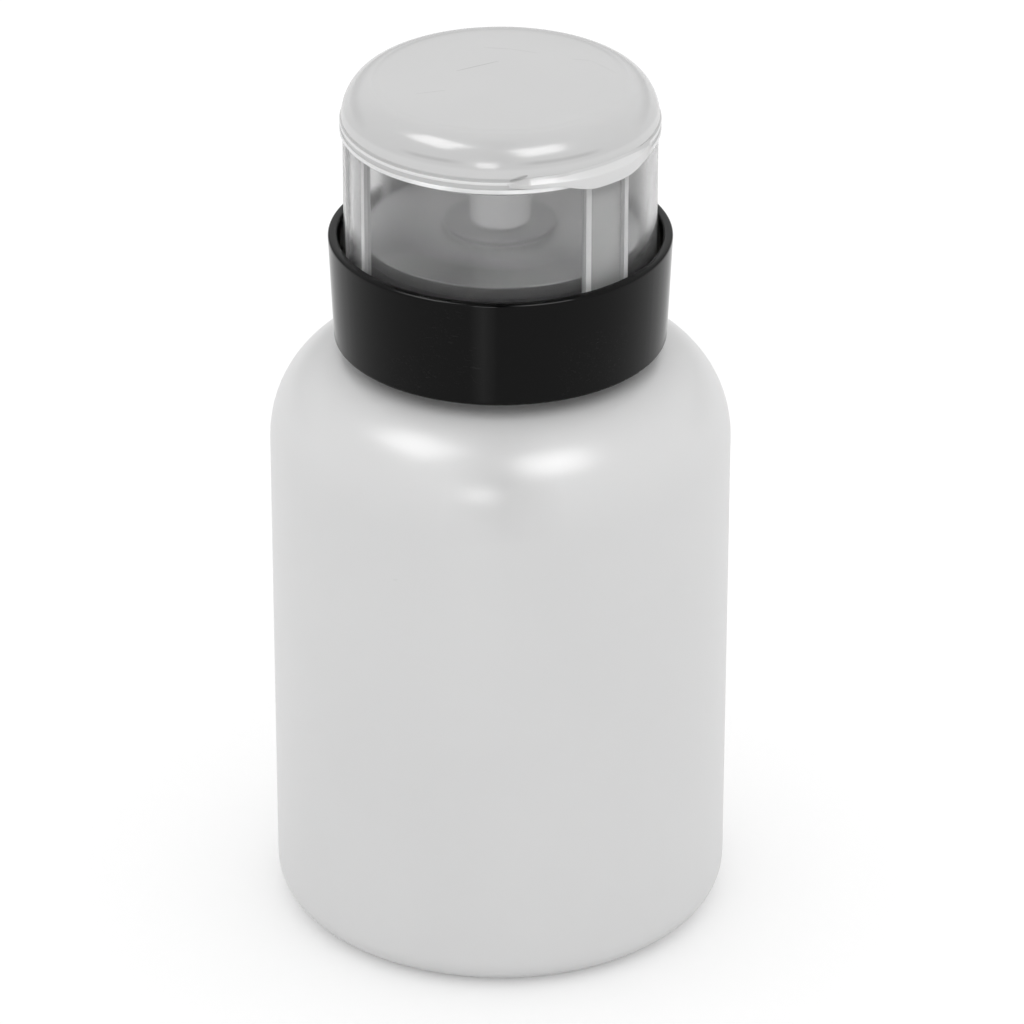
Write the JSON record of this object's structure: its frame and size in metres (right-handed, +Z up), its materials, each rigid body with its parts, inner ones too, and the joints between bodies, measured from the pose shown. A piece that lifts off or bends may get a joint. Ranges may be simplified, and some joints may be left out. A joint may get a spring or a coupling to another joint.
{
  "type": "press-down pump dispenser bottle",
  "caption": "Round milky bottle with a black screw collar, a press dish that pumps liquid up through a nozzle, and a hinged lid on a clear guard.",
  "frame": {"origin": "centre of the bottle's base, on the plane that its foot rests on", "axes": "+Z up along the bottle's axis; the front faces -Y, and the finger lip lies at 26 degrees from the front towards +X"},
  "size_m": [0.064, 0.064, 0.1253],
  "materials": {
    "milky_bottle": "satin, milky translucent polyethylene",
    "glossy_black": "polished black",
    "black_closure": "moulded",
    "clear_guard": "clear, slightly hazy",
    "milky_lid": "glossy milky polypropylene",
    "grey_dish": "satin",
    "translucent_nozzle": "translucent",
    "soft_seal": "soft",
    "natural_pump": "moulded natural polypropylene",
    "grey_pump": "moulded",
    "white_pump": "moulded",
    "steel": "drawn wire and ground balls"
  },
  "bodies": {
    "bottle": {"bottle": "milky_bottle"},
    "pump": {"neck_gasket": "soft_seal", "pump_housing": "natural_pump", "housing_cap": "grey_pump", "stem_seal": "soft_seal", "return_spring": "steel", "spring_seat": "grey_pump", "dip_tube": "natural_pump"},
    "collar": {"screw_cap": "black_closure", "collar_shell": "glossy_black", "guard_ring": "clear_guard"},
    "lid": {"flip_lid": "milky_lid"},
    "plunger": {"press_dish": "grey_dish", "nozzle": "translucent_nozzle", "pump_stem": "white_pump", "piston": "natural_pump"},
    "inlet_valve": {"inlet_ball": "steel"},
    "outlet_valve": {"outlet_ball": "steel"}
  },
  "joints": [
    {"name": "pump_lift", "type": "slide", "parent": "bottle", "child": "pump", "axis": [0, 0, 1], "range_m": [0, 0.00375]},
    {"name": "collar_turn", "type": "hinge", "parent": "pump", "child": "collar", "pos_m": [0, 0, 0.09], "axis": [0, 0, 1], "range_deg": [0, 450]},
    {"name": "press", "type": "slide", "parent": "pump", "child": "plunger", "axis": [0, 0, -1], "range_m": [0, 0.004], "stiffness_N_per_m": 400, "springref_m": -0.004, "deforming": ["return_spring"]},
    {"name": "lid_hinge", "type": "hinge", "parent": "collar", "child": "lid", "pos_m": [-0.01018, 0.02088, 0.118], "axis": [-0.8988, -0.4384, 0], "range_deg": [0, 140]},
    {"name": "inlet_lift", "type": "slide", "parent": "pump", "child": "inlet_valve", "axis": [0, 0, 1], "range_m": [0, 0.0012]},
    {"name": "outlet_lift", "type": "slide", "parent": "plunger", "child": "outlet_valve", "axis": [0, 0, 1], "range_m": [0, 0.0012]}
  ],
  "couplings": [
    {"joint": "collar_turn", "follows": "pump_lift", "rad_per_m": 2094.4}
  ]
}
